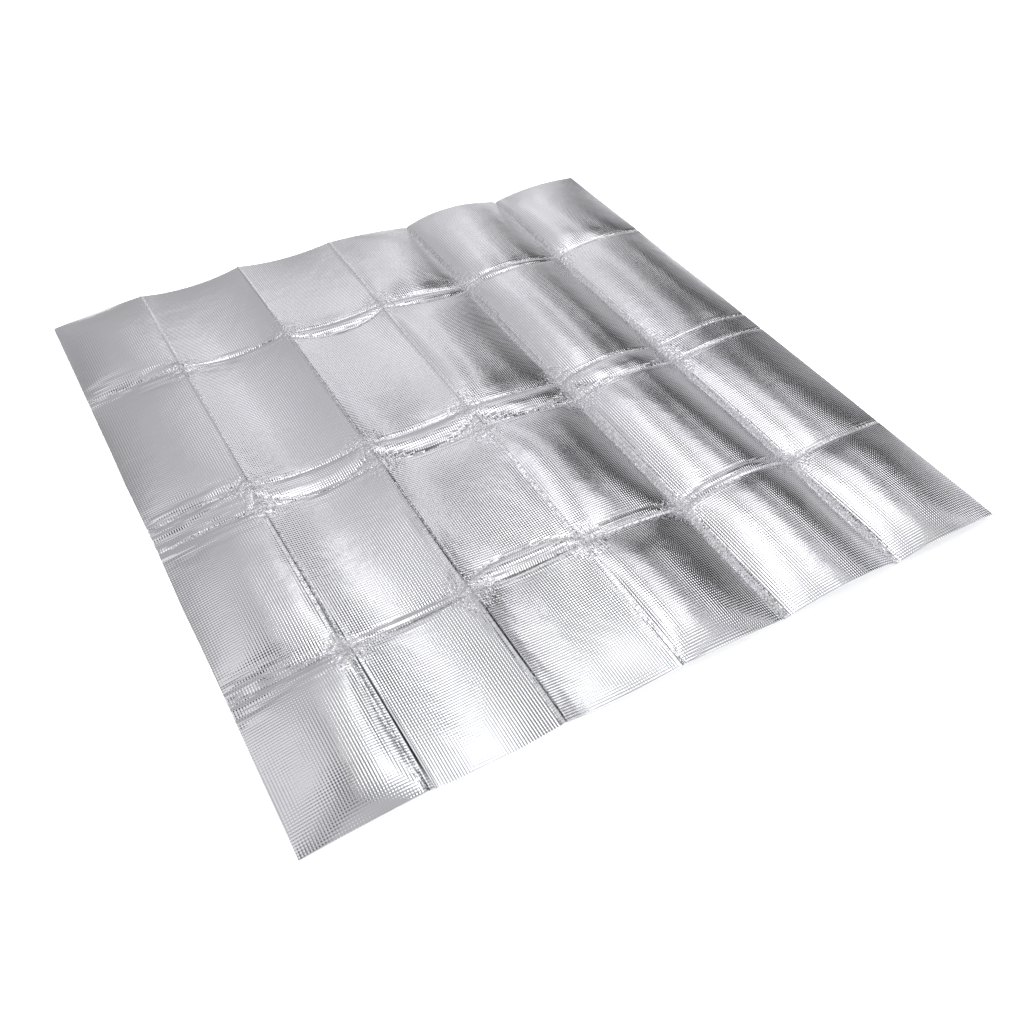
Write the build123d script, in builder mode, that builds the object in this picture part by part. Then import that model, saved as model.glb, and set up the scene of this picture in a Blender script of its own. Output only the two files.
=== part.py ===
"""Folding foam sleeping pad with a foil face, lying unfolded with its crease memory.

Frame: millimetres, +X across the columns, +Y towards the back edge, +Z up. The origin is on
the floor, under the middle of the sheet. Column 6 lies flat along the right edge, and the
other columns step away from it to the left, over the low ridge that the old folds leave.
"""
from build123d import *

import math
import os

# Driving dimensions
SHEET_WIDTH = 2000.0  # across the columns, in plan
SHEET_LENGTH = 2000.0  # along the column creases, from the back edge to the front edge
COLUMNS = 6
CREASE_SHIFTS = (0.0, -38.0, -31.0, -30.0, -50.0, -8.0, 0.0)  # X of each crease from even spacing
BAND_SHIFT = 41.0  # middle of the fold band, in front of the middle of the sheet
BACK_TUCK_MARGIN = 148.0  # how far a tucked edge row stops short of the fold band
FRONT_TUCK_MARGIN = 88.0
FOAM_THICK = 2.7
FOIL_THICK = 0.3
BAND_SLACK = 6.0  # left in the fold band once it wraps the two tucked rows
CREASE_GAP = 2.0  # softened line left between two panels
CREASE_CLEARANCE = 1.0  # from a panel's face to its crease's turning line
RIDGE_HEIGHTS = (0.0, 30.0, 38.0, 31.0, 0.0, 0.0, 0.0)  # underside at each crease, left to right

# Sizes that follow from them. The fold band spans both tucked rows, ridge towards ridge.
PAD_THICK = FOAM_THICK + FOIL_THICK
FOLD_BAND = 2 * (max(RIDGE_HEIGHTS) + PAD_THICK + CREASE_CLEARANCE) + BAND_SLACK
BACK_HALF = (SHEET_LENGTH - FOLD_BAND) / 2 + BAND_SHIFT
FRONT_HALF = (SHEET_LENGTH - FOLD_BAND) / 2 - BAND_SHIFT
BACK_EDGE_ROW = (BACK_HALF - BACK_TUCK_MARGIN) / 2
FRONT_EDGE_ROW = (FRONT_HALF - FRONT_TUCK_MARGIN) / 2
ROW_LENGTHS = {
    "back_edge": BACK_EDGE_ROW,
    "back_inner": BACK_HALF - BACK_EDGE_ROW,
    "fold_band": FOLD_BAND,
    "front_inner": FRONT_HALF - FRONT_EDGE_ROW,
    "front_edge": FRONT_EDGE_ROW,
}


def crease_point(index):
    """Underside of the sheet at a column crease, as X and Z, counted from the left edge."""
    even = (index / COLUMNS - 0.5) * SHEET_WIDTH
    return even + CREASE_SHIFTS[index], RIDGE_HEIGHTS[index]


def row_span(row):
    """Front and back Y of a row, counted from the back edge of the sheet."""
    back = SHEET_LENGTH / 2
    for name, length in ROW_LENGTHS.items():
        if name == row:
            return back - length, back
        back -= length
    raise KeyError(row)


def column_plane(column):
    """Plane under one column: its origin midway between two creases, its X up the slope."""
    left_x, left_z = crease_point(column - 1)
    right_x, right_z = crease_point(column)
    slope = math.atan2(right_z - left_z, right_x - left_x)
    return Plane(
        origin=((left_x + right_x) / 2, 0, (left_z + right_z) / 2),
        x_dir=(math.cos(slope), 0, math.sin(slope)),
        z_dir=(-math.sin(slope), 0, math.cos(slope)),
    )


def panel_width(column):
    """Width along the slope, less half a crease gap beside each neighbour."""
    left_x, left_z = crease_point(column - 1)
    right_x, right_z = crease_point(column)
    return math.hypot(right_x - left_x, right_z - left_z) - CREASE_GAP


def layer(row, column, label, bottom, thickness):
    """One flat layer of one panel, from bottom above the underside."""
    front, back = row_span(row)
    plane = column_plane(column).offset(bottom)
    with BuildPart() as sheet:
        with BuildSketch(plane):
            with Locations((0, (front + back) / 2)):
                Rectangle(panel_width(column), back - front - CREASE_GAP)
        extrude(amount=thickness)
    sheet.part.label = label
    return sheet.part


def foam_core(row, column):
    """Closed-cell foam panel, which carries the pad's thickness."""
    return layer(row, column, f"{row}_{column}_foam", 0, FOAM_THICK)


def foil_face(row, column):
    """Metallised film bonded to the top of the foam."""
    return layer(row, column, f"{row}_{column}_foil", FOAM_THICK, FOIL_THICK)


os.makedirs("parts", exist_ok=True)
for row_name in ROW_LENGTHS:
    for column_number in range(1, COLUMNS + 1):
        for piece in (foam_core(row_name, column_number), foil_face(row_name, column_number)):
            export_step(piece, f"parts/{piece.label}.step")
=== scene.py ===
import math

import bpy
import numpy as np
from bpy.props import FloatProperty, FloatVectorProperty, PointerProperty
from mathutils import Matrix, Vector


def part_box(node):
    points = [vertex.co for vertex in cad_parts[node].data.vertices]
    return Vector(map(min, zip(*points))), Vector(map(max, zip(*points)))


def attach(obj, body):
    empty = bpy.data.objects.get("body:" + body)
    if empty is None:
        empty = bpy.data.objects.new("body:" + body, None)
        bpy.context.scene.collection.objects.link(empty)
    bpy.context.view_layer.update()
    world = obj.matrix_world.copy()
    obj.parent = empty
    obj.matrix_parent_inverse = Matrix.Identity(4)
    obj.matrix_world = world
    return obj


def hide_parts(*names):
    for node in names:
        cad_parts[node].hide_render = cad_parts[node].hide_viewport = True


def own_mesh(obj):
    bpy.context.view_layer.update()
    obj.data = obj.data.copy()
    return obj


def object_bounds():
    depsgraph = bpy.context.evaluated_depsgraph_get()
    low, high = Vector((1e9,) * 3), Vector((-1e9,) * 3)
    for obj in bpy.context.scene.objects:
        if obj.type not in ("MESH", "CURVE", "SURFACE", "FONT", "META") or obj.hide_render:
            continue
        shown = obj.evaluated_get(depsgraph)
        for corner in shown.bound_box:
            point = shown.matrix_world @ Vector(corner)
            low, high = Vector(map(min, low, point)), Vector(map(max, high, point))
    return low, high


bl_info = {
    "name": "Foil-faced foam sleeping pad",
    "version": (1, 0, 0),
    "blender": (4, 5, 0),
    "location": "View3D > Sidebar > Sleeping Pad",
    "description": "Foam panels and embossed foil around a packed frame of folding panels",
    "category": "Object",
}

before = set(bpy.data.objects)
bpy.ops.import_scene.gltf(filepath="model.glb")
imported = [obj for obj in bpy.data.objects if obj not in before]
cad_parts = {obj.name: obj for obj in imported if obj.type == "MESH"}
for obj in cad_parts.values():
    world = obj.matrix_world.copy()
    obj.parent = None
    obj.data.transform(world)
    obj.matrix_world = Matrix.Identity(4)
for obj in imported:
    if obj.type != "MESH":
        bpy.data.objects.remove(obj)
CAD_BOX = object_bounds()

ROWS = ("back_edge", "back_inner", "fold_band", "front_inner", "front_edge")
COLUMNS = (1, 2, 3, 4, 5, 6)
RIDGES = (1, 2, 3)
VALLEYS = (4, 5)
FOAM_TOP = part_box("fold_band_6_foam")[1].z
FOIL_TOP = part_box("fold_band_6_foil")[1].z


# ---------------------------------------------------------------- sizes and colours


class PadShape(bpy.types.PropertyGroup):
    """Relief that the old folds leave in the sheet"""

    left_ridge: FloatProperty(name="Left ridge", description="Height of the first crease",
                              default=0.034, unit="LENGTH")
    middle_ridge: FloatProperty(name="Middle ridge", description="Height of the second crease",
                                default=0.043, unit="LENGTH")
    right_ridge: FloatProperty(name="Right ridge", description="Height of the third crease",
                               default=0.037, unit="LENGTH")
    valley: FloatProperty(name="Valley", description="Height of the two creases that fold up",
                          default=0.005, unit="LENGTH")
    sag: FloatProperty(name="Sag", description="How far the sheet hangs between two ridges",
                       default=0.022, unit="LENGTH")
    crown: FloatProperty(name="Crown", description="How far a panel swells between valleys",
                         default=0.034, unit="LENGTH")
    pillow: FloatProperty(name="Pillow", description="Swelling of one panel between its creases",
                          default=0.013, unit="LENGTH")
    crease_depth: FloatProperty(name="Crease depth", description="Depth of a pressed crease",
                                default=0.0045, unit="LENGTH")
    crinkle: FloatProperty(name="Crinkle", description="Height of the crinkles beside creases",
                           default=0.0040, unit="LENGTH")
    spacing: FloatProperty(name="Mesh spacing", description="Distance between mesh points",
                           default=0.0070, unit="LENGTH")


class PadFinish(bpy.types.PropertyGroup):
    """Colours and textures of the foil and the foam"""

    foil_colour: FloatVectorProperty(name="Foil", description="Reflected tint of the foil",
                                     subtype="COLOR", default=(0.87, 0.87, 0.885))
    foil_tint: FloatVectorProperty(name="Foil tint", description="Cooler tint in patches",
                                   subtype="COLOR", default=(0.80, 0.79, 0.84))
    cell: FloatProperty(name="Emboss cell", description="Pitch of the square emboss",
                        default=0.0070, unit="LENGTH")
    emboss: FloatProperty(name="Emboss depth", description="Depth of the square emboss",
                          default=0.00040, unit="LENGTH")
    foam_colour: FloatVectorProperty(name="Foam", description="Colour of the bare foam",
                                     subtype="COLOR", default=(0.62, 0.63, 0.66))


class PadStage(bpy.types.PropertyGroup):
    """Floor, lights and camera"""

    azimuth: FloatProperty(name="Azimuth", description="Direction that the camera looks from",
                           default=math.radians(-28.1), unit="ROTATION")
    elevation: FloatProperty(name="Elevation", description="Height angle of the camera",
                             default=math.radians(51.5), unit="ROTATION")
    distance: FloatProperty(name="Distance", description="Camera to the point it looks at",
                            default=2.286, unit="LENGTH")
    lens: FloatProperty(name="Lens", description="Focal length on a 36 mm sensor", default=31.96)
    shift_x: FloatProperty(name="Shift X", description="Sideways shift of the view", default=0.087)
    shift_y: FloatProperty(name="Shift Y", description="Upward shift of the view", default=0.069)
    target: FloatVectorProperty(name="Target", description="Point that the camera looks at",
                                subtype="XYZ", default=(-0.439, -0.480, 0.0))
    floor_side: FloatProperty(name="Floor side", description="Middle of the floor to its edge",
                              default=12.0, unit="LENGTH")
    floor_drop: FloatProperty(name="Floor drop", description="Floor below the pad's underside",
                              default=0.0008, unit="LENGTH")
    floor_colour: FloatVectorProperty(name="Floor", description="Colour of the floor",
                                      subtype="COLOR", default=(0.93, 0.93, 0.93))


# ---------------------------------------------------------------- where the creases run


def crease_lines():
    """X of the seven column lines and Y of the six row lines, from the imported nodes."""
    low, high = CAD_BOX
    xs = [low.x]
    for column in COLUMNS[:-1]:
        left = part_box(f"back_inner_{column}_foam")[1].x
        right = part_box(f"back_inner_{column + 1}_foam")[0].x
        xs.append((left + right) / 2)
    ys = [high.y]
    for back, front in zip(ROWS, ROWS[1:]):
        ys.append((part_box(f"{back}_6_foam")[0].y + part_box(f"{front}_6_foam")[1].y) / 2)
    return np.array(xs + [high.x]), np.array(ys + [low.y])


LINE_X, LINE_Y = crease_lines()


def lattice_noise(x, y, seed):
    """Smooth noise from -1 to 1, one lattice cell per unit."""
    table = np.random.default_rng(seed).uniform(-1, 1, (64, 64))
    ix, iy = np.floor(x).astype(int), np.floor(y).astype(int)
    fx, fy = x - ix, y - iy
    fx, fy = fx * fx * (3 - 2 * fx), fy * fy * (3 - 2 * fy)
    near = table[ix % 64, iy % 64] * (1 - fx) + table[(ix + 1) % 64, iy % 64] * fx
    far = table[ix % 64, (iy + 1) % 64] * (1 - fx) + table[(ix + 1) % 64, (iy + 1) % 64] * fx
    return near * (1 - fy) + far * fy


def fade(distance, reach):
    """1 on a line, falling smoothly to 0 at reach."""
    return np.clip(1 - np.abs(distance) / reach, 0, 1) ** 2


def wander(along, seed, most):
    """How far a crease strays from straight."""
    return most * lattice_noise(along * 2.3 + 7.1, np.full_like(along, seed * 3.7), seed)


def column_line(index, y):
    """X of a column crease at y; the cut edges stray inwards only."""
    stray = wander(y, 11 + index, 0.0045)
    if index == 0:
        return LINE_X[0] + np.abs(stray) * 0.6
    if index == len(LINE_X) - 1:
        return LINE_X[-1] - np.abs(stray) * 0.6
    return LINE_X[index] + stray


def row_line(index, x):
    """Y of a row crease at x; the cut edges stray inwards only."""
    stray = wander(x, 31 + index, 0.0045)
    if index == 0:
        return LINE_Y[0] - np.abs(stray) * 0.6
    if index == len(LINE_Y) - 1:
        return LINE_Y[-1] + np.abs(stray) * 0.6
    return LINE_Y[index] + stray


# ---------------------------------------------------------------- the relief

# Shares of the crown, the sag and the pillow in the columns that have them
CROWN_SHARES = {1: 0.10, 4: 0.20, 5: 1.0, 6: 0.50}
SAG_SHARES = {2: 1.0, 3: 0.75}
PILLOW_SHARES = {2: 0.55, 3: 0.55, 5: 0.55, 6: 0.8}

RIDGE_WIDTH = 0.011
VALLEY_WIDTH = 0.020
ROW_WIDTH = 0.009
TWIN_OFFSET = 0.019
TWIN_WIDTH = 0.008
LIP_WIDTH = 0.010
FLOOR_SOFTNESS = 0.003

# Row line, side of it, column lines at both ends, width and height share of each swollen band
LENS_BANDS = (
    (1, -1, 2, 3, 0.060, 1.5), (1, -1, 3, 4, 0.055, 1.1), (1, -1, 4, 5, 0.035, 0.7),
    (2, -1, 2, 3, 0.090, 2.6), (2, -1, 3, 4, 0.090, 2.3), (2, -1, 1, 2, 0.090, 1.0),
    (2, -1, 4, 5, 0.090, 1.2), (4, 1, 2, 3, 0.066, 2.0), (4, 1, 4, 5, 0.040, 0.9),
    (4, 1, 1, 2, 0.030, 0.6), (4, 1, 3, 4, 0.040, 0.5),
)


def lengthwise(y):
    """Share of the ridge height along the sheet: fullest past the middle, lower at the front."""
    share = (y - LINE_Y[-1]) / (LINE_Y[0] - LINE_Y[-1])
    return 0.70 + 0.30 * np.sin(math.pi * np.clip(share * 0.72 + 0.08, 0, 1))


def crossing_heights(shape):
    """Height of the underside at each column crease where the ridge is fullest."""
    return np.array([0.002, shape.left_ridge, shape.middle_ridge, shape.right_ridge,
                     shape.valley, shape.valley, 0.5 * shape.crown])


def across(shape, column, u, y):
    """Section across one column: straight from crease to crease, with its sag or crown."""
    heights = crossing_heights(shape)
    straight = heights[column - 1] * (1 - u) + heights[column] * u
    arch = 4 * u * (1 - u)
    lean = 1 + 0.35 * (2 * u - 1) * lattice_noise(y * 1.3, np.full_like(y, column), 5)
    bend = CROWN_SHARES.get(column, 0) * shape.crown - SAG_SHARES.get(column, 0) * shape.sag
    return lengthwise(y) * (straight + bend * arch * lean)


def panel_swell(shape, row, column, u, v):
    """Swelling that stays inside one panel, with its own size and lean."""
    rng = np.random.default_rng(100 + 10 * ROWS.index(row) + column)
    size, lean_u, lean_v = rng.uniform(0.55, 1.25), rng.uniform(-0.5, 0.5), rng.uniform(-0.4, 0.4)
    if row == "fold_band":
        return np.zeros_like(u)
    size *= PILLOW_SHARES.get(column, 1.0)
    body = (4 * u * (1 - u)) ** 0.8 * (1 - np.abs(2 * v - 1) ** 3.2)
    return shape.pillow * size * body * (1 + lean_u * (2 * u - 1) + lean_v * (2 * v - 1))


def pressed_creases(shape, x, y):
    """Sharp lines: ridges stand up and valleys press in, and the rows press across them."""
    height = np.zeros_like(x)
    for index in range(1, len(LINE_X) - 1):
        off = x - column_line(index, y)
        if index in RIDGES:
            height += 0.38 * shape.crease_depth * fade(off, RIDGE_WIDTH)
        else:
            height -= 0.75 * shape.crease_depth * fade(off, VALLEY_WIDTH)
    twin = fade(x - column_line(1, y) - TWIN_OFFSET, TWIN_WIDTH)
    height -= 0.6 * shape.crease_depth * twin * fade(y - LINE_Y[-1], 0.62) ** 0.5
    for index in range(1, len(LINE_Y) - 1):
        off = y - row_line(index, x)
        along = 0.62 + 0.38 * lattice_noise(x * 4.1, np.full_like(x, index * 5.3), 8)
        height -= 0.8 * shape.crease_depth * along * fade(off, ROW_WIDTH)
        height += 0.10 * shape.crease_depth * along * fade(np.abs(off) - 0.016, 0.012)
    return height


def lens_bands(shape, x, y):
    """Low swollen bands beside the row creases, where the folded block was wrapped."""
    height = np.zeros_like(x)
    for line, side, first, last, width, share in LENS_BANDS:
        start, end = column_line(first, y), column_line(last, y)
        u = np.clip((x - start) / (end - start), 0, 1)
        inside = np.sin(math.pi * u) ** 0.7
        local = width * (0.35 + 0.65 * inside)
        w = side * (y - row_line(line, x)) / local
        hump = np.where((w > 0) & (w < 1), np.sin(math.pi * np.clip(w, 0, 1)), 0.0)
        lip = fade((w - 1) * local, LIP_WIDTH)
        height += shape.crease_depth * share * inside * (hump - 0.45 * lip)
    return height


def crinkles(shape, x, y):
    """Fine folds that run along the row creases, and knots of them at the crossings."""
    left = np.clip((LINE_X[2] - x) / (LINE_X[2] - LINE_X[0]), 0, 1)
    near_row = np.zeros_like(x)
    for index in range(1, len(LINE_Y) - 1):
        near_row = np.maximum(near_row, fade(y - row_line(index, x), 0.040 + 0.090 * left))
    near_column = np.zeros_like(x)
    for index in range(1, len(LINE_X) - 1):
        near_column = np.maximum(near_column, fade(x - column_line(index, y), 0.060))
    drift = 0.6 * lattice_noise(x * 5, y * 5, 21)
    folds = lattice_noise(x * 11 + drift, y * 62 + 2.4 * drift, 22)
    folds += 0.5 * lattice_noise(x * 24, y * 110, 23)
    knots = lattice_noise(x * 70, y * 70, 24) + 0.5 * lattice_noise(x * 130, y * 130, 25)
    long_folds = lattice_noise(x * 40, y * 9, 26)
    knot_share = near_row * near_column
    return shape.crinkle * (
        (0.16 + 0.62 * left) * near_row * folds
        + 0.95 * knot_share * knots
        + 0.22 * near_column * long_folds
        + 0.10 * lattice_noise(x * 9, y * 9, 27)
    )


def creasing(x, y):
    """From 0 on a smooth panel to 1 where the foil is crumpled beside a crease."""
    valleys = np.zeros_like(x)
    for index in VALLEYS:
        valleys = np.maximum(valleys, fade(x - column_line(index, y), 0.032))
    ridges = np.zeros_like(x)
    for index in RIDGES:
        ridges = np.maximum(ridges, fade(x - column_line(index, y), 0.020))
    rows = np.zeros_like(x)
    for index in range(1, len(LINE_Y) - 1):
        rows = np.maximum(rows, fade(y - row_line(index, x), 0.026))
    crossings = np.zeros_like(x)
    for index in range(1, len(LINE_X) - 1):
        for line in range(1, len(LINE_Y) - 1):
            away = np.hypot(x - column_line(index, y), y - row_line(line, x))
            crossings = np.maximum(crossings, fade(away, 0.095))
    patchy = 0.65 + 0.35 * lattice_noise(x * 17, y * 17, 29)
    return np.clip((0.55 * valleys + 0.25 * ridges + 0.25 * rows + crossings) * patchy, 0, 1)


def underside(shape, row, column, x, y, u, v):
    """Height of the sheet's underside, never under the floor."""
    height = across(shape, column, u, y) + panel_swell(shape, row, column, u, v)
    height = height + pressed_creases(shape, x, y) + lens_bands(shape, x, y)
    height = height + crinkles(shape, x, y)
    return 0.5 * (height + np.sqrt(height * height + FLOOR_SOFTNESS * FLOOR_SOFTNESS)) - 0.0002


# ---------------------------------------------------------------- meshes


def spread(count):
    """Shares from 0 to 1, closer together beside the creases."""
    even = np.linspace(0, 1, count + 1)
    return even - 0.55 * np.sin(2 * math.pi * even) / (2 * math.pi)


def panel_points(shape, row, column, inset=0.0):
    """Grid of X, Y and underside Z over one panel, from its front left corner."""
    line = ROWS.index(row)
    width = LINE_X[column] - LINE_X[column - 1]
    length = LINE_Y[line] - LINE_Y[line + 1]
    across_count = max(8, round(width / shape.spacing))
    along_count = max(10, round(length / shape.spacing))
    u, v = np.meshgrid(spread(across_count), spread(along_count), indexing="ij")
    u, v = inset + (1 - 2 * inset) * u, inset + (1 - 2 * inset) * v
    rough_x = LINE_X[column - 1] + width * u
    y = row_line(line + 1, rough_x) * (1 - v) + row_line(line, rough_x) * v
    left, right = column_line(column - 1, y), column_line(column, y)
    x = left * (1 - u) + right * u
    return x, y, u, v


def surface_normals(shape, row, column, step=0.0008):
    """Upward normals of the relief, taken just inside the panel so that creases stay sharp."""
    x, y, u, v = panel_points(shape, row, column, inset=0.004)
    line = ROWS.index(row)
    width = LINE_X[column] - LINE_X[column - 1]
    length = LINE_Y[line] - LINE_Y[line + 1]
    du, dv = step / width, step / length
    slope_x = (underside(shape, row, column, x + step, y, u + du, v)
               - underside(shape, row, column, x - step, y, u - du, v)) / (2 * step)
    slope_y = (underside(shape, row, column, x, y + step, u, v + dv)
               - underside(shape, row, column, x, y - step, u, v - dv)) / (2 * step)
    normals = np.stack([-slope_x, -slope_y, np.ones_like(slope_x)], -1).reshape(-1, 3)
    return normals / np.linalg.norm(normals, axis=1, keepdims=True)


def rim_indices(across_count, along_count):
    """Grid indices once round the rim, anticlockwise from above."""
    row = along_count + 1
    front = [i * row for i in range(across_count + 1)]
    right = [across_count * row + j for j in range(1, along_count + 1)]
    back = [i * row + along_count for i in range(across_count - 1, -1, -1)]
    left = [j for j in range(along_count - 1, 0, -1)]
    return front + right + back + left


def layer_mesh(shape, row, column, name, low, high):
    """One closed layer of one panel, between two heights over the relief."""
    x, y, u, v = panel_points(shape, row, column)
    z = underside(shape, row, column, x, y, u, v)
    nx, ny = x.shape
    count = nx * ny
    flat = np.stack([x.ravel(), y.ravel(), z.ravel()], -1)
    points = np.concatenate([flat + (0, 0, high), flat + (0, 0, low)])
    index = np.arange(count).reshape(nx, ny)
    a, b = index[:-1, :-1].ravel(), index[1:, :-1].ravel()
    c, d = index[1:, 1:].ravel(), index[:-1, 1:].ravel()
    top = np.stack([a, b, c, d], -1)
    bottom = np.stack([d, c, b, a], -1) + count
    rim = np.array(rim_indices(nx - 1, ny - 1))
    ahead = np.roll(rim, -1)
    wall = np.stack([rim + count, ahead + count, ahead, rim], -1)
    faces = np.concatenate([top, bottom, wall])
    mesh = bpy.data.meshes.new(name)
    mesh.vertices.add(len(points))
    mesh.vertices.foreach_set("co", points.ravel())
    mesh.loops.add(faces.size)
    mesh.loops.foreach_set("vertex_index", faces.ravel().astype(np.int32))
    mesh.polygons.add(len(faces))
    mesh.polygons.foreach_set("loop_start", np.arange(0, faces.size, 4, dtype=np.int32))
    mesh.update(calc_edges=True)
    mesh.validate()
    worn = mesh.attributes.new("creasing", "FLOAT", "POINT")
    worn.data.foreach_set("value", np.tile(creasing(x, y).ravel(), 2).astype(np.float32))
    normals = surface_normals(shape, row, column)
    edge = points[ahead] - points[rim]
    outward = np.stack([edge[:, 1], -edge[:, 0], np.zeros(len(edge))], -1)
    outward /= np.linalg.norm(outward, axis=1, keepdims=True)
    loops = np.concatenate([
        normals[top.ravel()], -normals[(bottom - count).ravel()], np.repeat(outward, 4, axis=0)])
    mesh.polygons.foreach_set("use_smooth", np.ones(len(faces), bool))
    mesh.normals_split_custom_set(loops.tolist())
    return mesh


def add_layer(row, column, layer, low, high, material):
    """Builds a layer, gives it its finish, and puts it on its panel's body."""
    shape = bpy.context.scene.pad_shape
    name = f"{row}_{column}_{layer}"
    piece = bpy.data.objects.new(f"pad_{name}", layer_mesh(shape, row, column, name, low, high))
    bpy.context.scene.collection.objects.link(piece)
    piece.data.materials.append(material)
    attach(piece, f"{row}_{column}")
    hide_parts(name)
    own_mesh(piece)
    return piece


# ---------------------------------------------------------------- materials


def new_material(name):
    material = bpy.data.materials.new(name)
    material.use_nodes = True
    return material, material.node_tree.nodes, material.node_tree.links


def math_node(nodes, links, operation, first, second=None):
    node = nodes.new("ShaderNodeMath")
    node.operation = operation
    for socket, value in zip(node.inputs, (first, second)):
        if value is None:
            continue
        if isinstance(value, (int, float)):
            socket.default_value = value
        else:
            links.new(value, socket)
    return node.outputs[0]


def noise_node(nodes, links, place, scale, detail=3.0):
    node = nodes.new("ShaderNodeTexNoise")
    node.inputs["Scale"].default_value = scale
    node.inputs["Detail"].default_value = detail
    links.new(place, node.inputs["Vector"])
    return node.outputs["Fac"]


def emboss_height(nodes, links, place, cell):
    """Square waffle: a cosine along each side of the sheet."""
    split = nodes.new("ShaderNodeSeparateXYZ")
    links.new(place, split.inputs[0])
    waves = []
    for axis in ("X", "Y"):
        turns = math_node(nodes, links, "MULTIPLY", split.outputs[axis], 2 * math.pi / cell)
        waves.append(math_node(nodes, links, "COSINE", turns))
    return math_node(nodes, links, "MULTIPLY",
                     math_node(nodes, links, "ADD", waves[0], waves[1]), 0.25)


def embossed_foil(finish):
    """Satin metallised film with a fine square emboss, handling marks and cool patches."""
    material, nodes, links = new_material("embossed_foil")
    shader = nodes["Principled BSDF"]
    place = nodes.new("ShaderNodeTexCoord").outputs["Object"]
    patches = noise_node(nodes, links, place, 2.2)
    mix = nodes.new("ShaderNodeMix")
    mix.data_type = "RGBA"
    links.new(patches, mix.inputs["Factor"])
    mix.inputs["A"].default_value = (*finish.foil_colour, 1)
    mix.inputs["B"].default_value = (*finish.foil_tint, 1)
    links.new(mix.outputs["Result"], shader.inputs["Base Color"])
    shader.inputs["Metallic"].default_value = 1.0
    rub = nodes.new("ShaderNodeMapRange")
    links.new(noise_node(nodes, links, place, 14.0, 5.0), rub.inputs["Value"])
    rub.inputs["To Min"].default_value = 0.05
    rub.inputs["To Max"].default_value = 0.11
    links.new(rub.outputs["Result"], shader.inputs["Roughness"])
    creasing_share = nodes.new("ShaderNodeAttribute")
    creasing_share.attribute_name = "creasing"
    handled = nodes.new("ShaderNodeBump")
    handled.inputs["Distance"].default_value = 0.0022
    handled.inputs["Strength"].default_value = 0.35
    links.new(noise_node(nodes, links, place, 20.0, 3.0), handled.inputs["Height"])
    coarse = nodes.new("ShaderNodeBump")
    coarse.inputs["Distance"].default_value = 0.0085
    links.new(creasing_share.outputs["Fac"], coarse.inputs["Strength"])
    links.new(noise_node(nodes, links, place, 120.0, 2.5), coarse.inputs["Height"])
    links.new(handled.outputs["Normal"], coarse.inputs["Normal"])
    waffle = nodes.new("ShaderNodeBump")
    waffle.inputs["Distance"].default_value = finish.emboss
    waffle.inputs["Strength"].default_value = 1.0
    links.new(emboss_height(nodes, links, place, finish.cell), waffle.inputs["Height"])
    links.new(coarse.outputs["Normal"], waffle.inputs["Normal"])
    links.new(waffle.outputs["Normal"], shader.inputs["Normal"])
    return material


def closed_cell_foam(finish):
    """Matt foam with a fine skin of closed cells."""
    material, nodes, links = new_material("closed_cell_foam")
    shader = nodes["Principled BSDF"]
    place = nodes.new("ShaderNodeTexCoord").outputs["Object"]
    mix = nodes.new("ShaderNodeMix")
    mix.data_type = "RGBA"
    links.new(noise_node(nodes, links, place, 35.0, 6.0), mix.inputs["Factor"])
    mix.inputs["A"].default_value = (*[0.86 * value for value in finish.foam_colour], 1)
    mix.inputs["B"].default_value = (*finish.foam_colour, 1)
    links.new(mix.outputs["Result"], shader.inputs["Base Color"])
    shader.inputs["Roughness"].default_value = 0.86
    cells = nodes.new("ShaderNodeTexVoronoi")
    cells.inputs["Scale"].default_value = 620.0
    links.new(place, cells.inputs["Vector"])
    bump = nodes.new("ShaderNodeBump")
    bump.inputs["Distance"].default_value = 0.0004
    links.new(cells.outputs["Distance"], bump.inputs["Height"])
    links.new(bump.outputs["Normal"], shader.inputs["Normal"])
    return material


def matt_floor(stage):
    material, nodes, _ = new_material("matt_floor")
    shader = nodes["Principled BSDF"]
    shader.inputs["Base Color"].default_value = (*stage.floor_colour, 1)
    shader.inputs["Roughness"].default_value = 0.95
    return material


# ---------------------------------------------------------------- operators


class PAD_OT_foam_cores(bpy.types.Operator):
    """Builds the closed-cell foam core of every panel"""

    bl_idname = "pad.foam_cores"
    bl_label = "Foam cores"

    def execute(self, context):
        foam = closed_cell_foam(context.scene.pad_finish)
        for row in ROWS:
            for column in COLUMNS:
                piece = add_layer(row, column, "foam", 0.0, FOAM_TOP, foam)
        return {"FINISHED"}


class PAD_OT_foil_faces(bpy.types.Operator):
    """Lays the embossed foil on every panel"""

    bl_idname = "pad.foil_faces"
    bl_label = "Foil faces"

    def execute(self, context):
        foil = embossed_foil(context.scene.pad_finish)
        for row in ROWS:
            for column in COLUMNS:
                piece = add_layer(row, column, "foil", FOAM_TOP, FOIL_TOP, foil)
        return {"FINISHED"}


class PAD_OT_stage(bpy.types.Operator):
    """Sets the floor, the lights and the camera"""

    bl_idname = "pad.stage"
    bl_label = "Floor, lights and camera"

    def execute(self, context):
        stage = context.scene.pad_stage
        add_floor(stage)
        add_world()
        add_lights()
        add_camera(stage)
        context.scene.view_settings.view_transform = "Standard"
        return {"FINISHED"}


def add_floor(stage):
    side, level = stage.floor_side, -stage.floor_drop
    mesh = bpy.data.meshes.new("floor")
    corners = [(-side, -side), (side, -side), (side, side), (-side, side)]
    mesh.from_pydata([(x, y, level) for x, y in corners], [], [(0, 1, 2, 3)])
    floor = bpy.data.objects.new("floor", mesh)
    bpy.context.scene.collection.objects.link(floor)
    mesh.materials.append(matt_floor(stage))


# Brightness of the surroundings between the screens
SURROUND = 0.54

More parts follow.
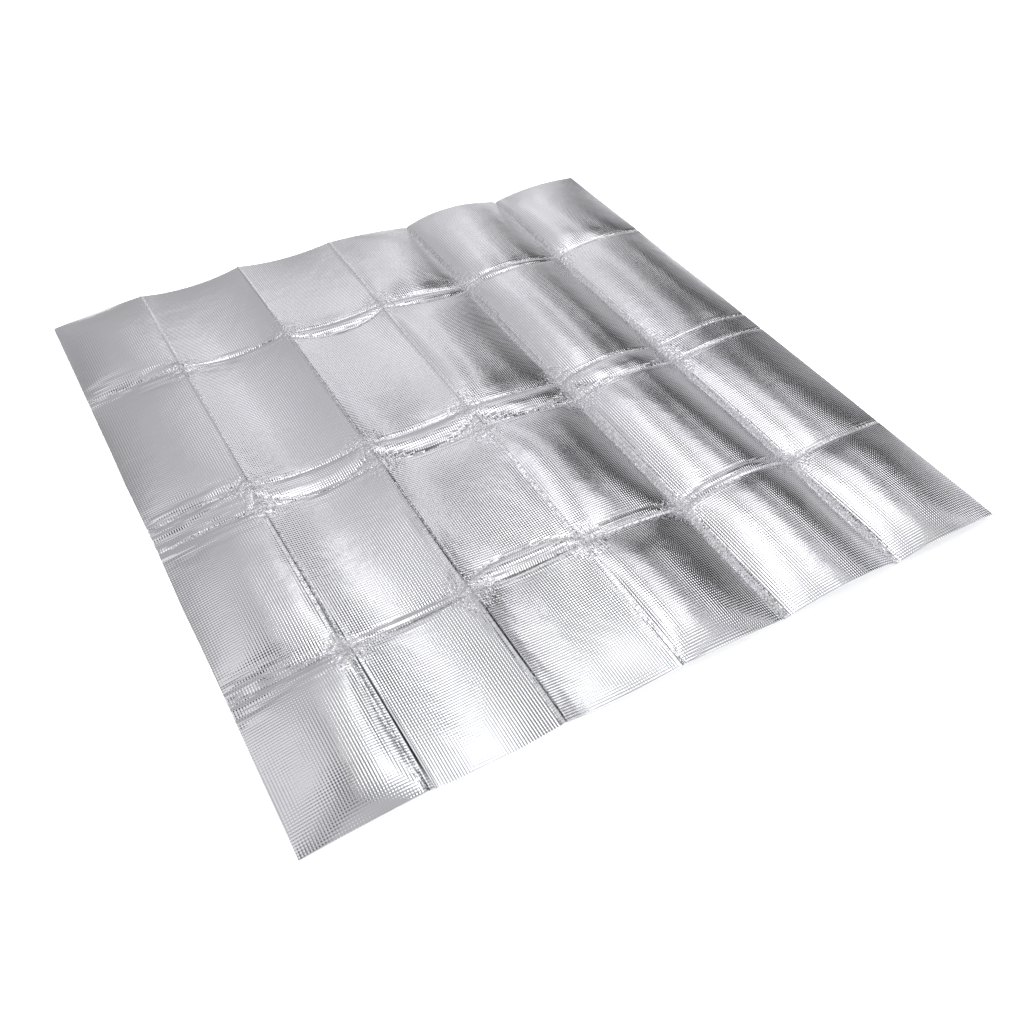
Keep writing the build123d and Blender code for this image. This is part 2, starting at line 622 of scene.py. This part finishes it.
# Direction, half width in degrees, edge softness in degrees, and brightness of each screen
SCREENS = (
    ((-0.07, 0.34, 0.94), 9, 3, 0.03),
    ((0.30, 0.35, 0.89), 11, 3, 2.20),
    ((0.52, 0.34, 0.78), 6, 3, 0.03),
    ((0.66, 0.30, 0.69), 7, 3, 2.20),
    ((0.80, 0.27, 0.53), 10, 3, 0.02),
    ((0.90, 0.15, 0.40), 6, 3, 1.40),
    ((0.28, 0.54, 0.79), 5, 4, 0.30),
    ((0.23, 0.67, 0.70), 5, 4, 1.10),
    ((0.40, 0.64, 0.66), 5, 3, 1.60),
    ((0.51, 0.58, 0.63), 8, 3, 0.02),
    ((0.61, 0.52, 0.60), 5, 3, 2.00),
    ((0.72, 0.45, 0.53), 9, 4, 0.02),
    ((0.64, 0.63, 0.44), 8, 5, 0.08),
    ((0.48, 0.75, 0.45), 5, 4, 1.20),
    ((-0.25, 0.45, 0.86), 9, 6, 0.90),
    ((-0.35, 0.75, 0.56), 9, 6, 0.35),
    ((0.05, 0.95, 0.30), 12, 6, 0.45),
    ((-0.60, -0.30, 0.74), 22, 8, 1.20),
    ((0.30, -0.60, 0.74), 18, 8, 0.20),
    ((0.55, -0.30, 0.78), 12, 6, 1.40),
)


def add_world():
    """Grey studio surroundings with pale and dark screens for the foil to reflect."""
    world = bpy.data.worlds.new("studio")
    world.use_nodes = True
    bpy.context.scene.world = world
    nodes, links = world.node_tree.nodes, world.node_tree.links
    place = nodes.new("ShaderNodeTexCoord").outputs["Generated"]
    level = SURROUND
    for direction, half_width, softness, brightness in SCREENS:
        facing = nodes.new("ShaderNodeVectorMath")
        facing.operation = "DOT_PRODUCT"
        links.new(place, facing.inputs[0])
        facing.inputs[1].default_value = Vector(direction).normalized()
        edge = nodes.new("ShaderNodeMapRange")
        edge.interpolation_type = "SMOOTHSTEP"
        links.new(facing.outputs["Value"], edge.inputs["Value"])
        edge.inputs["From Min"].default_value = math.cos(math.radians(half_width + softness))
        edge.inputs["From Max"].default_value = math.cos(math.radians(half_width - softness / 2))
        blend = nodes.new("ShaderNodeMix")
        links.new(edge.outputs["Result"], blend.inputs["Factor"])
        if isinstance(level, float):
            blend.inputs["A"].default_value = level
        else:
            links.new(level, blend.inputs["A"])
        blend.inputs["B"].default_value = brightness
        level = blend.outputs["Result"]
    links.new(level, nodes["Background"].inputs["Strength"])
    nodes["Background"].inputs["Color"].default_value = (0.985, 0.985, 1.0, 1)


# Name, place, point it faces, width, height and watts of each lamp
SOFTBOXES = (
    ("front_key", (0.9, 1.3, 4.2), (0.0, -0.4, 0.0), 1.0, 0.8, 150),
    ("back_softbox", (1.2, 4.4, 3.4), (0.3, 0.3, 0.0), 0.9, 1.2, 130),
    ("left_softbox", (-3.4, 1.6, 3.0), (-0.4, 0.0, 0.0), 1.2, 1.6, 120),
    ("fill_softbox", (-1.6, -4.6, 3.6), (0.0, 0.0, 0.0), 3.4, 2.6, 260),
)


def softbox(name, place, aim, width, height, watts):
    """Area lamp that lights the floor and the foam, but doesn't show in the foil."""
    light = bpy.data.lights.new(name, "AREA")
    light.shape = "RECTANGLE"
    light.size, light.size_y = width, height
    light.energy = watts
    lamp = bpy.data.objects.new(name, light)
    lamp.location = place
    lamp.visible_glossy = False
    lamp.rotation_euler = (Vector(aim) - Vector(place)).to_track_quat("-Z", "Y").to_euler()
    bpy.context.scene.collection.objects.link(lamp)


def add_lights():
    for lamp in SOFTBOXES:
        softbox(*lamp)


def add_camera(stage):
    lens = bpy.data.cameras.new("camera")
    lens.sensor_width = 36.0
    lens.lens = stage.lens
    lens.shift_x = stage.shift_x
    lens.shift_y = stage.shift_y
    lens.clip_start = 0.05
    camera = bpy.data.objects.new("camera", lens)
    target = Vector(stage.target)
    level = math.cos(stage.elevation)
    back = Vector((math.sin(stage.azimuth) * level, -math.cos(stage.azimuth) * level,
                   math.sin(stage.elevation)))
    camera.location = target + stage.distance * back
    camera.rotation_euler = (-back).to_track_quat("-Z", "Y").to_euler()
    bpy.context.scene.collection.objects.link(camera)
    bpy.context.scene.camera = camera


class PAD_PT_panel(bpy.types.Panel):
    """Lists the pad's operators and sizes"""

    bl_label = "Sleeping Pad"
    bl_idname = "PAD_PT_panel"
    bl_space_type = "VIEW_3D"
    bl_region_type = "UI"
    bl_category = "Sleeping Pad"

    def draw(self, context):
        for operator in OPERATORS:
            self.layout.operator(operator.bl_idname)
        for group in ("pad_shape", "pad_finish", "pad_stage"):
            settings = getattr(context.scene, group)
            box = self.layout.box()
            for name in type(settings).__annotations__:
                box.prop(settings, name)


GROUPS = {"pad_shape": PadShape, "pad_finish": PadFinish, "pad_stage": PadStage}
OPERATORS = (PAD_OT_foam_cores, PAD_OT_foil_faces, PAD_OT_stage)


def register():
    for cls in (*GROUPS.values(), *OPERATORS, PAD_PT_panel):
        bpy.utils.register_class(cls)
    for name, group in GROUPS.items():
        setattr(bpy.types.Scene, name, PointerProperty(type=group))


def unregister():
    for name in GROUPS:
        delattr(bpy.types.Scene, name)
    for cls in reversed((*GROUPS.values(), *OPERATORS, PAD_PT_panel)):
        bpy.utils.unregister_class(cls)


def main():
    register()
    bpy.ops.pad.foam_cores()
    bpy.ops.pad.foil_faces()
    bpy.ops.pad.stage()


if __name__ == "__main__":
    main()
